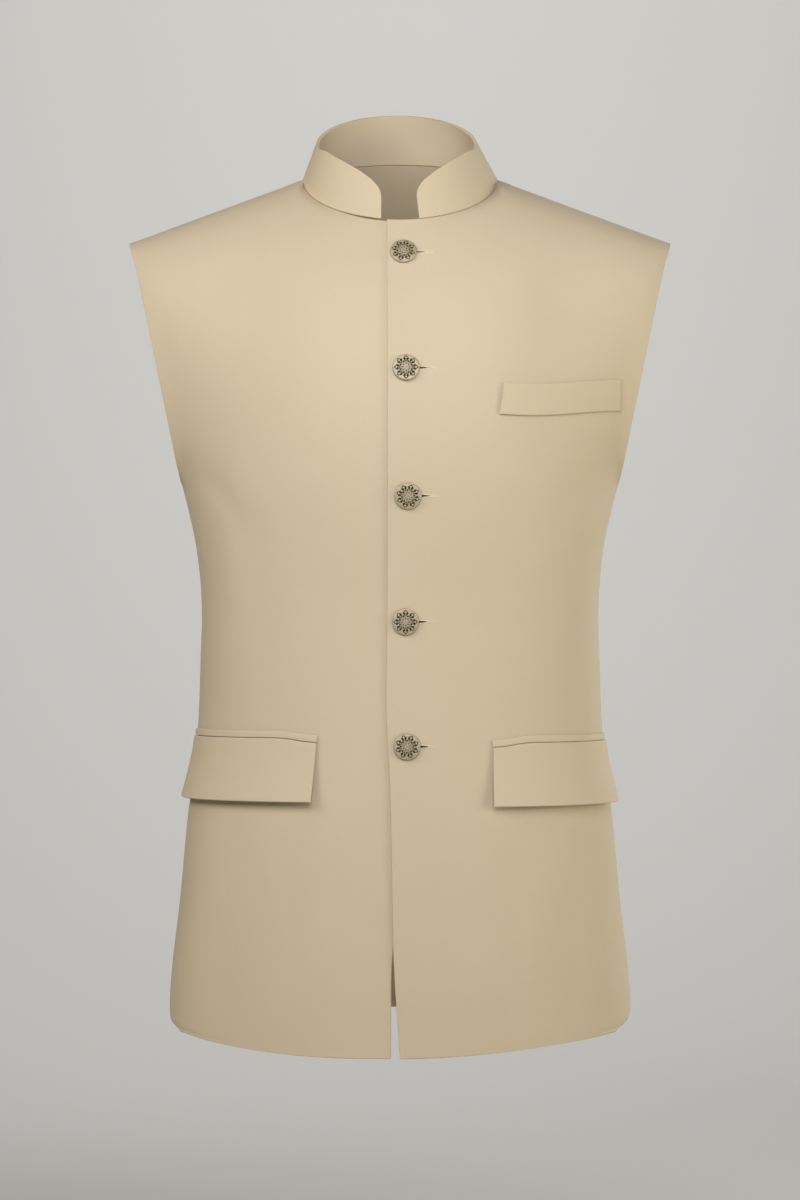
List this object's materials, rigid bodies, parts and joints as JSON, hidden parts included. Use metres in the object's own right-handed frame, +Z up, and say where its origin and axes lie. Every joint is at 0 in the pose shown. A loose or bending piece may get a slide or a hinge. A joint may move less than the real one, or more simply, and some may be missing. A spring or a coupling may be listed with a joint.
{
  "type": "nehru jacket",
  "caption": "Sleeveless nehru jacket with a stand collar, lapped and buttoned fronts, flap pockets and a breast welt, in its worn form.",
  "frame": {"origin": "between the two points where the shoulder seams meet the collar, where the wearer's shoulders and neck carry it", "axes": "+Z up towards the collar, +X to the wearer's left, -Y out of the front"},
  "size_m": [0.4314, 0.2523, 0.7473],
  "materials": {
    "body_cloth": "beige suiting, fine plain weave with a soft sheen",
    "collar_cloth": "beige suiting over a stiff interlining",
    "pocket_cloth": "beige suiting, pressed",
    "button_metal": "antique, darkened in the engraving"
  },
  "bodies": {
    "root": {"left_front": "body_cloth", "right_front": "body_cloth", "back": "body_cloth", "collar": "collar_cloth", "left_flap": "pocket_cloth", "right_flap": "pocket_cloth", "left_jet": "pocket_cloth", "right_jet": "pocket_cloth", "breast_welt": "pocket_cloth", "button_1": "button_metal", "button_2": "button_metal", "button_3": "button_metal", "button_4": "button_metal", "button_5": "button_metal"}
  },
  "joints": []
}
